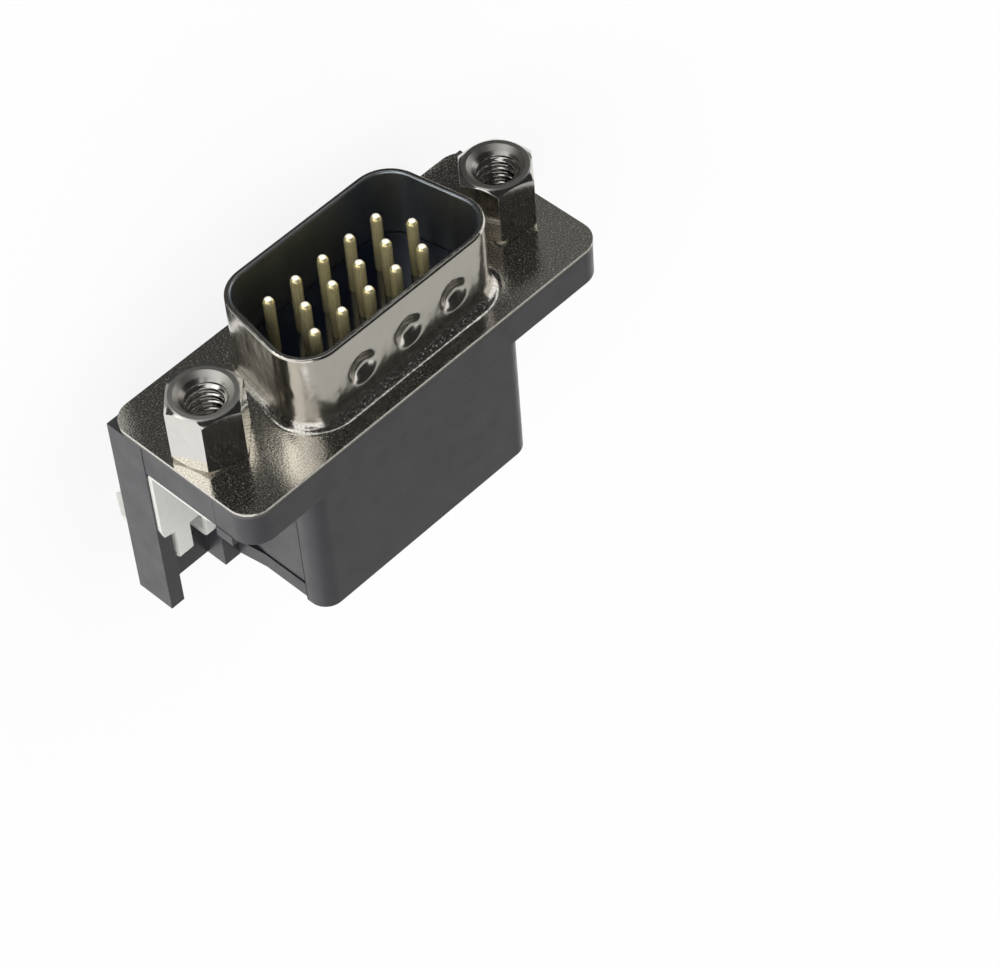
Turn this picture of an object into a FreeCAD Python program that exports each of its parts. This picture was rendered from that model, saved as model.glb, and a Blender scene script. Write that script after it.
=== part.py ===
import FreeCAD, Part
import math
import os
import Sketcher

# Right-angle board-mount plug connector: small D-shaped shell, fifteen pins in three rows.
# X runs along the connector, Y into it (the mating face looks towards -Y), Z up from the board.
# The origin lies on the board under the middle of the front face of the metal flange.

DRIVING_SIZES = {
    # metal flange and plastic plate behind it
    "flange_width": 30.81,
    "flange_height": 12.5,
    "flange_corner": 1.65,
    "metal_sheet": 0.45,
    "plastic_plate": 2.4,
    "plate_inset": 0.04,
    "seat_lift": 0.05,
    "screw_inset": 2.91,
    # drawn cup around the pins, its inside on the wide side measured from the flange's end
    "cup_inset": 6.945,
    "cup_height": 8.36,
    "cup_slant": 10,
    "cup_wall": 0.4,
    "cup_reach": 5.95,
    "cup_corner": 2.6,
    "foot_radius": 0.75,
    "rim_round": 0.15,
    "dimple_spacing": 3.9,
    "dimple_forward": 2.8,
    "dimple_half": 1.1,
    "dimple_tip": 0.45,
    "dimple_depth": 0.3,
    "dimple_round": 0.9,
    "dimple_rise": 0.2,
    # plastic hood over the contact legs, heights from the mating axis
    "hood_inset": 6.005,
    "hood_top": 4.65,
    "hood_depth": 15.65,
    "hood_corner": 1.3,
    "hood_wall": 1.2,
    "hood_roof": 1.75,
    "panel_recess": 0.25,
    # rear plate: set in from the roof's side, flaring out towards the legs
    "rear_inset": 0.17,
    "flare_out": 0.32,
    "flare_foot": 0.21,
    "flare_rise": 2.14,
    # channel-section mounting legs, heights from the board
    "leg_beyond": 0.4,
    "leg_return": 1.08,
    "leg_height": 3.0,
    "leg_floor": 1.3,
    "leg_rib": 1.33,
    "rib_inset": 0.05,
    "slot_width": 3.5,
    "slot_land": 2.35,
    "stop_band": 1.4,
    "stop_rise": 0.8,
    "stop_gap": 0.2,
    # moulded insert behind and under the hood; the top of its floor is measured down from the axis
    "board_gap": 0.75,
    "floor_drop": 3.95,
    "tail_front": 3.6,
    "tail_plate": 1.25,
    "tail_recess": 0.45,
    "joint_gap": 0.07,
    "lip_height": 1.2,
    # contacts
    "pin_pitch": 2.29,
    "row_pitch": 1.98,
    "pin_diameter": 0.76,
    "pin_reach": 5.3,
    "pin_shoulder": 1.2,
    "leg_diameter": 0.6,
    "leg_bend": 0.9,
    "tail_inset": 1.17,
    "tail_pitch": 2.54,
    "tail_reach": 3.5,
    # moulded plug that holds the pins
    "plug_face": 0.7,
    "plug_depth": 5.2,
    # spring locks
    "lock_sheet": 0.35,
    "lock_gap": 0.3,
    "lock_edge": 0.11,
    "lock_top": 2.7,
    "lock_corner": 0.9,
    "shoulder_step": 0.18,
    "shoulder_slope": 0.7,
    "fork_root": 0.36,
    "fork_length": 2.95,
    "fork_inset": 1.8,
    "fork_gap": 1.2,
    "prong_width": 1.1,
    "barb_out": 0.25,
    "barb_start": 0.475,
    "barb_below": 1.9,
    "fork_reach": 3.6,
    "fork_tip": 0.3,
    "fork_point": 0.15,
    "collar_wall": 0.45,
    "collar_height": 0.5,
    "bend_inside": 0.15,
    # jackscrews
    "hex_flats": 4.6,
    "hex_height": 4.5,
    "hex_face": 4.3,
    "hex_chamfer": 0.35,
    "hex_turn_right": 43,
    "hex_turn_left": 47,
    "stud_diameter": 2.84,
    "stud_end": 6.4,
    "stud_chamfer": 0.35,
    "bore_diameter": 2.3,
    "bore_depth": 4.4,
    "sink_diameter": 3.7,
    "sink_depth": 0.7,
    # clearances between pieces
    "plug_clear": 0.05,
    "pin_clear": 0.02,
    "tail_clear": 0.05,
    "screw_clear": 0.15,
    "thread_clear": 0.02,
    "insert_clear": 0.05,
}

doc = FreeCAD.newDocument("Connector")
sheet = doc.addObject("Spreadsheet::Sheet", "Sizes")
for row, (alias, size) in enumerate(DRIVING_SIZES.items(), start=1):
    sheet.set(f"A{row}", alias)
    sheet.set(f"B{row}", str(size))
    sheet.setAlias(f"B{row}", alias)
doc.recompute()


def cell(alias):
    """The sheet's cell as it is written in an expression."""
    return f"Sizes.{alias}"


# Places that several pieces share, as expressions on the sheet.
AXIS = f"({cell('flange_height')} / 2 + {cell('seat_lift')})"
PLATE_REAR = f"({cell('metal_sheet')} + {cell('plastic_plate')})"
FLANGE_TOP = f"({cell('flange_height')} + {cell('seat_lift')})"
FLANGE_HALF = f"({cell('flange_width')} / 2)"
SCREW_X = f"({FLANGE_HALF} - {cell('screw_inset')})"
CUP_HALF = f"({FLANGE_HALF} - {cell('cup_inset')})"
HOOD_HALF = f"({FLANGE_HALF} - {cell('hood_inset')})"
PANEL_SIDE = f"({HOOD_HALF} - {cell('panel_recess')})"
RIB_SIDE = f"({HOOD_HALF} - {cell('rib_inset')})"
LEG_END = f"({cell('hood_depth')} + {cell('leg_beyond')})"
SLOT_END = f"({LEG_END} - {cell('slot_land')})"
FORK_DEPTH = f"({SLOT_END} - {cell('fork_inset')})"
LOCK_SHOULDER = f"({FORK_DEPTH} - {cell('fork_length')})"
HOOD_TOP = f"({AXIS} + {cell('hood_top')})"
ROOF_UNDER = f"({HOOD_TOP} - {cell('hood_roof')})"
CAVITY_HALF = f"({PANEL_SIDE} - {cell('hood_wall')})"
FLARE_END = f"({cell('leg_height')} + {cell('flare_foot')})"
FLARE_START = f"({FLARE_END} + {cell('flare_rise')})"
TAIL_PLATE_FRONT = f"({cell('hood_depth')} - {cell('tail_plate')})"
WALL_END = f"({TAIL_PLATE_FRONT} - {cell('joint_gap')})"
TAIL_FLOOR_TOP = f"({AXIS} - {cell('floor_drop')})"
WALL_FOOT = f"({TAIL_FLOOR_TOP} + {cell('insert_clear')})"
LIP_TOP = f"({WALL_FOOT} + {cell('lip_height')})"
LOCK_REAR = f"({PLATE_REAR} + {cell('lock_sheet')})"
LOCK_DECK = f"({cell('leg_height')} + {cell('lock_sheet')})"
PRONG_OUT = f"({cell('fork_gap')} / 2 + {cell('prong_width')})"
SIDES = {"right": 1, "left": -1}
PIN_COLUMNS = (-2, -1, 0, 1, 2)
# each row of pins: steps above the axis, tail row counted from the rear, sideways shift in quarter pitches
PIN_ROWS = ((1, 0, 1), (0, 1, -1), (-1, 2, 1))


def new_body(name):
    """An empty body with its own label."""
    body = doc.addObject("PartDesign::Body", name)
    body.Label = name
    body.Placement = FreeCAD.Placement()
    return body


def new_sketch(body, name, role, offset="0", across="0"):
    """A sketch on one of the body's origin planes, moved along the plane's normal and across it."""
    plane = next(item for item in body.Origin.OriginFeatures if item.Role == role)
    sketch = body.newObject("Sketcher::SketchObject", name)
    sketch.AttachmentSupport = [(plane, "")]
    sketch.MapMode = "FlatFace"
    sketch.setExpression("AttachmentOffset.Base.z", offset)
    sketch.setExpression("AttachmentOffset.Base.x", across)
    return sketch


def front_sketch(body, name, depth="0", across="0"):
    """A sketch that is looked at from the mating side, at a depth behind the flange's front face."""
    return new_sketch(body, name, "XZ_Plane", f"-({depth})", across)


def bind(sketch, kind, geometry, point, expression):
    """A distance from the sketch's origin that follows an expression."""
    value = float(sketch.evalExpression(expression))
    index = sketch.addConstraint(Sketcher.Constraint(kind, -1, 1, geometry, point, value))
    sketch.setExpression(f"Constraints[{index}]", expression)


def outline(sketch, corners):
    """A closed outline of straight edges whose corners are pairs of expressions."""
    first = sketch.GeometryCount
    count = len(corners)
    places = [FreeCAD.Vector(sketch.evalExpression(x), sketch.evalExpression(y), 0) for x, y in corners]
    for step in range(count):
        sketch.addGeometry(Part.LineSegment(places[step], places[(step + 1) % count]), False)
    for step in range(count):
        after = first + (step + 1) % count
        sketch.addConstraint(Sketcher.Constraint("Coincident", first + step, 2, after, 1))
    for step, (x, y) in enumerate(corners):
        bind(sketch, "DistanceX", first + step, 1, x)
        bind(sketch, "DistanceY", first + step, 1, y)


def round_outline(sketch, corners, radius):
    """A closed outline with equally rounded corners, hung on a construction outline through the corners."""
    guide = sketch.GeometryCount
    outline(sketch, corners)
    count = len(corners)
    for step in range(count):
        sketch.toggleConstruction(guide + step)
    places = [FreeCAD.Vector(sketch.evalExpression(x), sketch.evalExpression(y), 0) for x, y in corners]
    size = float(sketch.evalExpression(radius))
    starts, ends = [], []
    for step, place in enumerate(places):
        back = (places[step - 1] - place).normalize()
        onward = (places[(step + 1) % count] - place).normalize()
        setback = size / math.tan(back.getAngle(onward) / 2)
        starts.append(place + back * setback)
        ends.append(place + onward * setback)
    sides = sketch.GeometryCount
    for step in range(count):
        sketch.addGeometry(Part.LineSegment(ends[step], starts[(step + 1) % count]), False)
        sketch.addConstraint(Sketcher.Constraint("PointOnObject", sides + step, 1, guide + step))
        sketch.addConstraint(Sketcher.Constraint("PointOnObject", sides + step, 2, guide + step))
    arcs = sketch.GeometryCount
    for step, place in enumerate(places):
        inward = ((starts[step] - place).normalize() + (ends[step] - place).normalize()).normalize()
        half_turn = (starts[step] - place).getAngle(ends[step] - place) / 2
        knee = place + inward * (size / math.sin(half_turn) - size)
        sketch.addGeometry(Part.Arc(starts[step], knee, ends[step]), False)
        join_tangent(sketch, sides + (step - 1) % count, 2, arcs + step, starts[step])
        join_tangent(sketch, sides + step, 1, arcs + step, ends[step])
        index = sketch.addConstraint(Sketcher.Constraint("Radius", arcs + step, size))
        sketch.setExpression(f"Constraints[{index}]", radius)


def join_tangent(sketch, line, line_end, arc, place):
    """A line's end runs smoothly into the end of the arc that lies at the given place."""
    arc_end = 1 if (sketch.Geometry[arc].StartPoint - place).Length < 1e-6 else 2
    sketch.addConstraint(Sketcher.Constraint("Tangent", line, line_end, arc, arc_end))


def box_corners(left, right, low, high):
    return [(left, low), (right, low), (right, high), (left, high)]


def box_outline(sketch, left, right, low, high):
    """A rectangle between four expressions."""
    outline(sketch, box_corners(left, right, low, high))


def circle(sketch, x, y, diameter):
    """A circle whose centre and diameter are expressions."""
    centre = FreeCAD.Vector(sketch.evalExpression(x), sketch.evalExpression(y), 0)
    radius = float(sketch.evalExpression(diameter)) / 2
    index = sketch.addGeometry(Part.Circle(centre, FreeCAD.Vector(0, 0, 1), radius), False)
    bind(sketch, "DistanceX", index, 3, x)
    bind(sketch, "DistanceY", index, 3, y)
    size = sketch.addConstraint(Sketcher.Constraint("Diameter", index, 2 * radius))
    sketch.setExpression(f"Constraints[{size}]", diameter)


def pad(body, sketch, length, rearward=False):
    """Material on the sketch; rearward pads of front sketches grow into the connector."""
    feature = body.newObject("PartDesign::Pad", sketch.Name + "_pad")
    feature.Profile = sketch
    feature.setExpression("Length", length)
    feature.Reversed = rearward
    sketch.Visibility = False
    doc.recompute()
    return feature


def pocket(body, sketch, length, reverse=False):
    """A cut from the sketch, checked to take material away."""
    before = body.Shape.Volume
    feature = body.newObject("PartDesign::Pocket", sketch.Name + "_pocket")
    feature.Profile = sketch
    feature.setExpression("Length", length)
    feature.Reversed = reverse
    doc.recompute()
    if not feature.Shape.Volume < before - 1e-6:
        raise RuntimeError(f"{feature.Name} cuts nothing")
    return feature


def turn(body, sketch, kind, axis="Axis0", angle=360, reverse=False):
    """Material or a cut made by turning the sketch about one of its lines, checked to change the body."""
    before = body.Shape.Volume if body.Tip else 0
    feature = body.newObject("PartDesign::" + kind, sketch.Name + "_turn")
    feature.Profile = sketch
    feature.ReferenceAxis = (sketch, [axis])
    feature.Angle = angle
    feature.Reversed = reverse
    sketch.Visibility = False
    doc.recompute()
    change = feature.Shape.Volume - before
    if (change if kind == "Revolution" else -change) < 1e-6:
        raise RuntimeError(f"{feature.Name} changes nothing")
    return feature


def level_axis(sketch, height):
    """A construction line across the sketch at a height, for turning about."""
    place = float(sketch.evalExpression(height))
    line = Part.LineSegment(FreeCAD.Vector(-1, place, 0), FreeCAD.Vector(1, place, 0))
    index = sketch.addGeometry(line, True)
    sketch.addConstraint(Sketcher.Constraint("Horizontal", index))
    bind(sketch, "DistanceY", index, 1, height)
    bind(sketch, "DistanceX", index, 1, "-1")
    bind(sketch, "DistanceX", index, 2, "1")


def dress(body, kind, name, chosen, size_property, size):
    """A fillet or chamfer on the edges of the body's last feature that pass a test."""
    base = body.Tip
    names = [f"Edge{number}" for number, edge in enumerate(base.Shape.Edges, start=1) if chosen(edge)]
    if not names:
        raise RuntimeError(f"{name} found no edge")
    feature = body.newObject("PartDesign::" + kind, name)
    feature.Base = (base, names)
    feature.setExpression(size_property, size)
    doc.recompute()
    return feature


def fillet(body, name, chosen, radius):
    return dress(body, "Fillet", name, chosen, "Radius", radius)


def chamfer(body, name, chosen, size):
    return dress(body, "Chamfer", name, chosen, "Size", size)


def number(expression):
    """The present value of an expression on the sheet."""
    return float(sheet.evalExpression(expression.replace("Sizes.", "")))


def runs_along(edge, axis):
    """Whether a straight edge runs along X, Y or Z (0, 1 or 2)."""
    if len(edge.Vertexes) != 2 or edge.Curve.TypeId != "Part::GeomLine":
        return False
    run = edge.Vertexes[1].Point - edge.Vertexes[0].Point
    return abs(abs(run[axis]) - edge.Length) < 1e-6


def middle(edge):
    return edge.CenterOfGravity


def lies_at(edge, axis, place):
    """Whether the whole edge lies in one plane across an axis."""
    bounds = edge.BoundBox
    low = (bounds.XMin, bounds.YMin, bounds.ZMin)[axis]
    high = (bounds.XMax, bounds.YMax, bounds.ZMax)[axis]
    return abs(low - place) < 1e-4 and abs(high - place) < 1e-4


def cup_corners(grow):
    """The cup's outline with slanted sides, moved outwards from its inside by an expression."""
    wide = f"({CUP_HALF} + ({grow}) / cos({cell('cup_slant')})"
    wide = f"{wide} + ({grow}) * tan({cell('cup_slant')}))"
    fall = f"({cell('cup_height')} + 2 * ({grow}))"
    narrow = f"({wide} - {fall} * tan({cell('cup_slant')}))"
    high = f"({AXIS} + {fall} / 2)"
    low = f"({AXIS} - {fall} / 2)"
    return [(f"-{narrow}", low), (narrow, low), (wide, high), (f"-{wide}", high)]


def cup_outline(sketch, grow):
    """The cup's rounded outline, moved outwards from its inside by an expression."""
    inside_corner = f"({cell('cup_corner')} - {cell('cup_wall')})"
    round_outline(sketch, cup_corners(grow), f"({inside_corner} + ({grow}))")


def within_cup(edge):
    """Whether an edge belongs to the cup and not to the flange's outline or screw holes."""
    reach = number(SCREW_X) - number(cell("stud_diameter"))
    bounds = edge.BoundBox
    return bounds.XMax < reach and bounds.XMin > -reach and bounds.ZLength < number(cell("flange_height")) - 1


def pin_place(column, row):
    """Across and up expressions of one pin's centre."""
    step, _, shift = PIN_ROWS[row]
    across = f"({column} + {shift} / 4) * {cell('pin_pitch')}"
    up = f"({AXIS} + {step} * {cell('row_pitch')})"
    return across, up


def tail_depth(row):
    return f"({cell('hood_depth')} - {cell('tail_inset')} - {PIN_ROWS[row][1]} * {cell('tail_pitch')})"


def build_front_shell():
    """Drawn steel shell: flange, slanted cup with a swept foot, rolled rim and pressed dimples."""
    body = new_body("front_shell")
    flange = front_sketch(body, "shell_flange")
    flange_left = f"-{FLANGE_HALF}"
    round_outline(flange, box_corners(flange_left, FLANGE_HALF, cell("seat_lift"), FLANGE_TOP),
                  cell("flange_corner"))
    pad(body, flange, cell("metal_sheet"), rearward=True)
    cup = front_sketch(body, "shell_cup")
    cup_outline(cup, cell("cup_wall"))
    pad(body, cup, cell("cup_reach"))
    hollow = front_sketch(body, "shell_hollow", f"-{cell('cup_reach')}")
    cup_outline(hollow, "0")
    pocket(body, hollow, f"{cell('cup_reach')} + {cell('metal_sheet')}")
    foot = lambda edge: lies_at(edge, 1, 0) and within_cup(edge)
    fillet(body, "cup_foot", foot, cell("foot_radius"))
    rim_place = -number(cell("cup_reach"))
    fillet(body, "cup_rim", lambda edge: lies_at(edge, 1, rim_place), cell("rim_round"))
    holes = front_sketch(body, "shell_screw_holes")
    for side in SIDES.values():
        circle(holes, f"{side} * {SCREW_X}", AXIS, f"{cell('stud_diameter')} + 2 * {cell('screw_clear')}")
    pocket(body, holes, cell("metal_sheet"))
    add_dimples(body)
    return body


def add_dimples(body):
    """Three shallow round presses in the wide wall: a bump inside the cup and a hollow outside."""
    half = cell("dimple_half")
    tip = cell("dimple_tip")
    depth = cell("dimple_depth")
    inner_wall = f"({AXIS} + {cell('cup_height')} / 2)"
    outer_wall = f"({inner_wall} + {cell('cup_wall')})"
    within_wall = f"({inner_wall} + {cell('cup_wall')} / 2)"
    bump = front_sketch(body, "dimple_bump", f"-{cell('dimple_forward')}", f"-{cell('dimple_spacing')}")
    bump_top = f"({inner_wall} - {cell('dimple_rise')})"
    outline(bump, [("0", within_wall), ("0", bump_top), (tip, bump_top),
                   (half, inner_wall), (half, within_wall)])
    turn(body, bump, "Revolution", "V_Axis")
    repeat_dimple(body, bump)
    press = front_sketch(body, "dimple_press", f"-{cell('dimple_forward')}", f"-{cell('dimple_spacing')}")
    above = f"({outer_wall} + {depth})"
    bottom = f"({outer_wall} - {depth})"
    outline(press, [("0", above), ("0", bottom), (tip, bottom), (half, outer_wall), (half, above)])
    turn(body, press, "Groove", "V_Axis")
    repeat_dimple(body, press)
    outer_place = number(outer_wall)
    mouth = lambda edge: lies_at(edge, 2, outer_place) and edge.BoundBox.XLength < 3 * number(half)
    fillet(body, "dimple_mouths", mouth, cell("dimple_round"))


def repeat_dimple(body, sketch):
    """The last feature repeated three times along the wall."""
    pattern = body.newObject("PartDesign::LinearPattern", sketch.Name + "_row")
    pattern.Originals = [body.Tip]
    pattern.Direction = (sketch, ["H_Axis"])
    pattern.setExpression("Length", f"2 * {cell('dimple_spacing')}")
    pattern.Occurrences = 3
    body.Tip = pattern
    doc.recompute()


def build_housing():
    """Moulded housing: flange plate, hood with roof and side walls, channel-section legs."""
    body = new_body("housing")
    plate = front_sketch(body, "housing_plate", cell("metal_sheet"))
    upper_half = f"({FLANGE_HALF} - {cell('plate_inset')})"
    right = [(FLANGE_HALF, "0"), (FLANGE_HALF, cell("leg_height")),
             (upper_half, cell("leg_height")), (upper_half, FLANGE_TOP)]
    left = [(f"-{x}", y) for x, y in reversed(right)]
    outline(plate, right + left)
    pad(body, plate, cell("plastic_plate"), rearward=True)
    upper = lambda edge: runs_along(edge, 1) and middle(edge).z > number(AXIS)
    fillet(body, "plate_corners", upper, cell("flange_corner"))
    add_hood(body)
    add_legs(body)
    opening = front_sketch(body, "housing_opening", cell("metal_sheet"))
    cup_outline(opening, "0")
    pocket(body, opening, cell("plastic_plate"))
    holes = front_sketch(body, "housing_screw_holes", cell("metal_sheet"))
    for side in SIDES.values():
        circle(holes, f"{side} * {SCREW_X}", AXIS, f"{cell('stud_diameter')} + 2 * {cell('screw_clear')}")
    pocket(body, holes, cell("plastic_plate"))
    return body


def add_hood(body):
    """Roof over the full depth, side walls set in under it, and the lip behind the plate."""
    roof = front_sketch(body, "hood_roof", PLATE_REAR)
    box_outline(roof, f"-{HOOD_HALF}", HOOD_HALF, ROOF_UNDER, HOOD_TOP)
    pad(body, roof, f"{cell('hood_depth')} - {PLATE_REAR}", rearward=True)
    roof_side = number(HOOD_HALF)
    roof_top = number(HOOD_TOP)
    roof_edge = lambda edge: (runs_along(edge, 1) and abs(abs(middle(edge).x) - roof_side) < 1e-4
                              and abs(middle(edge).z - roof_top) < 1e-4)
    fillet(body, "roof_corners", roof_edge, cell("hood_corner"))
    walls = front_sketch(body, "hood_walls", PLATE_REAR)
    for side in SIDES.values():
        box_outline(walls, f"{side} * {CAVITY_HALF}", f"{side} * {PANEL_SIDE}", WALL_FOOT, ROOF_UNDER)
    pad(body, walls, f"{WALL_END} - {PLATE_REAR}", rearward=True)
    lip = front_sketch(body, "hood_lip", PLATE_REAR)
    box_outline(lip, f"-{CAVITY_HALF}", CAVITY_HALF, WALL_FOOT, LIP_TOP)
    pad(body, lip, f"{cell('tail_front')} - {PLATE_REAR}", rearward=True)


def add_legs(body):
    """Two legs of channel section along the board, each with a slot for the fork, and the lock stops."""
    legs = front_sketch(body, "legs", PLATE_REAR)
    stops = front_sketch(body, "lock_stops", PLATE_REAR)
    slots = new_sketch(body, "leg_slots", "XY_Plane")
    slot_rounds = new_sketch(body, "leg_slot_rounds", "XY_Plane")
    notches = front_sketch(body, "flange_notches", cell("metal_sheet"))
    stop_low = f"({AXIS} + {cell('lock_top')} + {cell('stop_gap')})"
    slot_half = f"({cell('slot_width')} / 2)"
    round_centre = f"({SLOT_END} - {slot_half})"
    for side in SIDES.values():
        rib_out = f"({RIB_SIDE} + {cell('leg_rib')})"
        return_in = f"({FLANGE_HALF} - {cell('leg_return')})"
        outline(legs, [(f"{side} * {RIB_SIDE}", "0"),
                       (f"{side} * {FLANGE_HALF}", "0"),
                       (f"{side} * {FLANGE_HALF}", cell("leg_height")),
                       (f"{side} * {return_in}", cell("leg_height")),
                       (f"{side} * {return_in}", cell("leg_floor")),
                       (f"{side} * {rib_out}", cell("leg_floor")),
                       (f"{side} * {rib_out}", cell("leg_height")),
                       (f"{side} * {RIB_SIDE}", cell("leg_height"))])
        box_outline(stops, f"{side} * {CAVITY_HALF}", f"{side} * {FLANGE_HALF}",
                    stop_low, f"{stop_low} + {cell('stop_band')}")
        box_outline(slots, f"{side} * {SCREW_X} - {slot_half}", f"{side} * {SCREW_X} + {slot_half}",
                    cell("metal_sheet"), round_centre)
        circle(slot_rounds, f"{side} * {SCREW_X}", round_centre, cell("slot_width"))
        box_outline(notches, f"{side} * {SCREW_X} - {slot_half}", f"{side} * {SCREW_X} + {slot_half}",
                    "0", cell("leg_height"))
    pad(body, legs, f"{LEG_END} - {PLATE_REAR}", rearward=True)
    pad(body, stops, cell("stop_rise"), rearward=True)
    pocket(body, slots, cell("leg_floor"), reverse=True)
    pocket(body, slot_rounds, cell("leg_floor"), reverse=True)
    pocket(body, notches, cell("plastic_plate"))


def build_front_insulator():
    """Moulded plug that fills the cup's floor and holds the pins, with a block behind the plate."""
    body = new_body("front_insulator")
    plug = front_sketch(body, "plug", f"-{cell('plug_face')}")
    cup_outline(plug, f"-{cell('plug_clear')}")
    pad(body, plug, f"{PLATE_REAR} + {cell('plug_face')}", rearward=True)
    block = front_sketch(body, "plug_block", PLATE_REAR)
    block_half = f"({CAVITY_HALF} - {cell('insert_clear')})"
    box_outline(block, f"-{block_half}", block_half,
                f"{LIP_TOP} + {cell('insert_clear')}", f"{ROOF_UNDER} - {cell('insert_clear')}")
    pad(body, block, f"{cell('plug_depth')} - {PLATE_REAR}", rearward=True)
    holes = front_sketch(body, "plug_holes", f"-{cell('plug_face')}")
    for row in range(len(PIN_ROWS)):
        for column in PIN_COLUMNS:
            across, up = pin_place(column, row)
            circle(holes, across, up, f"{cell('pin_diameter')} + 2 * {cell('pin_clear')}")
    pocket(body, holes, f"{cell('plug_depth')} + {cell('plug_face')}")
    return body


def build_tail_block():
    """Moulded insert: rear plate with flared sides and a floor through which the tails pass."""
    body = new_body("tail_block")
    rear = front_sketch(body, "tail_rear", TAIL_PLATE_FRONT)
    floor_half = f"({RIB_SIDE} - {cell('insert_clear')})"
    rear_half = f"({HOOD_HALF} - {cell('rear_inset')})"
    flared = f"({rear_half} + {cell('flare_out')})"
    shelf = f"({cell('leg_height')} + {cell('insert_clear')})"
    right = [(floor_half, cell("board_gap")), (floor_half, shelf), (flared, shelf), (flared, FLARE_END),
             (rear_half, FLARE_START), (rear_half, f"({ROOF_UNDER} - {cell('insert_clear')})")]
    left = [(f"-{x}", y) for x, y in reversed(right)]
    outline(rear, right + left)
    pad(body, rear, cell("tail_plate"), rearward=True)
    floor = front_sketch(body, "tail_floor", cell("tail_front"))
    box_outline(floor, f"-{floor_half}", floor_half, cell("board_gap"), TAIL_FLOOR_TOP)
    pad(body, floor, f"{TAIL_PLATE_FRONT} - {cell('tail_front')}", rearward=True)
    recess = front_sketch(body, "tail_recess", TAIL_PLATE_FRONT)
    box_outline(recess, f"-{CAVITY_HALF}", CAVITY_HALF, TAIL_FLOOR_TOP, ROOF_UNDER)
    pocket(body, recess, cell("tail_recess"))
    holes = new_sketch(body, "tail_holes", "XY_Plane", cell("board_gap"))
    for row in range(len(PIN_ROWS)):
        for column in PIN_COLUMNS:
            across, _ = pin_place(column, row)
            circle(holes, across, tail_depth(row), f"{cell('leg_diameter')} + 2 * {cell('tail_clear')}")
    pocket(body, holes, f"{TAIL_FLOOR_TOP} - {cell('board_gap')}", reverse=True)
    return body


def build_contact(count, column, row):
    """One bent contact: round-nosed pin, leg that runs back and bends down, round-ended tail."""
    name = f"contact_{count:02d}"
    body = new_body(name)
    across, up = pin_place(column, row)
    bend_start = f"({tail_depth(row)} - {cell('leg_bend')})"
    bend_end = f"({up} - {cell('leg_bend')})"
    pin = new_sketch(body, name + "_pin", "YZ_Plane", across)
    rod_profile(pin, (cell("pin_shoulder"), up), (f"-{cell('pin_reach')}", up), cell("pin_diameter"))
    turn(body, pin, "Revolution", "Edge1")
    leg = front_sketch(body, name + "_leg", cell("pin_shoulder"))
    circle(leg, across, up, cell("leg_diameter"))
    pad(body, leg, f"{bend_start} - {cell('pin_shoulder')}", rearward=True)
    elbow = front_sketch(body, name + "_elbow", bend_start)
    circle(elbow, across, up, cell("leg_diameter"))
    level_axis(elbow, bend_end)
    turn(body, elbow, "Revolution", "Axis0", 90, reverse=True)
    tail = new_sketch(body, name + "_tail", "YZ_Plane", across)
    rod_profile(tail, (tail_depth(row), bend_end), (tail_depth(row), f"-{cell('tail_reach')}"),
                cell("leg_diameter"))
    turn(body, tail, "Revolution", "Edge1")
    return body


def rod_profile(sketch, root, tip, diameter):
    """Half of a round rod with a ball end, whose first line is the rod's middle line from root to tip."""
    start = FreeCAD.Vector(sketch.evalExpression(root[0]), sketch.evalExpression(root[1]), 0)
    end = FreeCAD.Vector(sketch.evalExpression(tip[0]), sketch.evalExpression(tip[1]), 0)
    radius = float(sketch.evalExpression(diameter)) / 2
    along = (end - start).normalize()
    outward = FreeCAD.Vector(-along.y, along.x, 0)
    ball = end - along * radius
    knee = ball + (along + outward).normalize() * radius
    shoulder = ball + outward * radius
    corner = start + outward * radius
    sketch.addGeometry(Part.LineSegment(start, end), False)
    sketch.addGeometry(Part.Arc(end, knee, shoulder), False)
    sketch.addGeometry(Part.LineSegment(shoulder, corner), False)
    sketch.addGeometry(Part.LineSegment(corner, start), False)
    arc_tip = 1 if (sketch.Geometry[1].StartPoint - end).Length < 1e-6 else 2
    sketch.addConstraint(Sketcher.Constraint("Coincident", 0, 2, 1, arc_tip))
    sketch.addConstraint(Sketcher.Constraint("PointOnObject", 1, 3, 0))
    join_tangent(sketch, 2, 1, 1, shoulder)
    sketch.addConstraint(Sketcher.Constraint("Coincident", 2, 2, 3, 1))
    sketch.addConstraint(Sketcher.Constraint("Coincident", 3, 2, 0, 1))
    sketch.addConstraint(Sketcher.Constraint("Perpendicular", 0, 3))
    size = sketch.addConstraint(Sketcher.Constraint("Radius", 1, radius))
    sketch.setExpression(f"Constraints[{size}]", f"{diameter} / 2")
    for point, place in ((1, root), (2, tip)):
        bind(sketch, "DistanceX", 0, point, place[0])
        bind(sketch, "DistanceY", 0, point, place[1])


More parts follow.
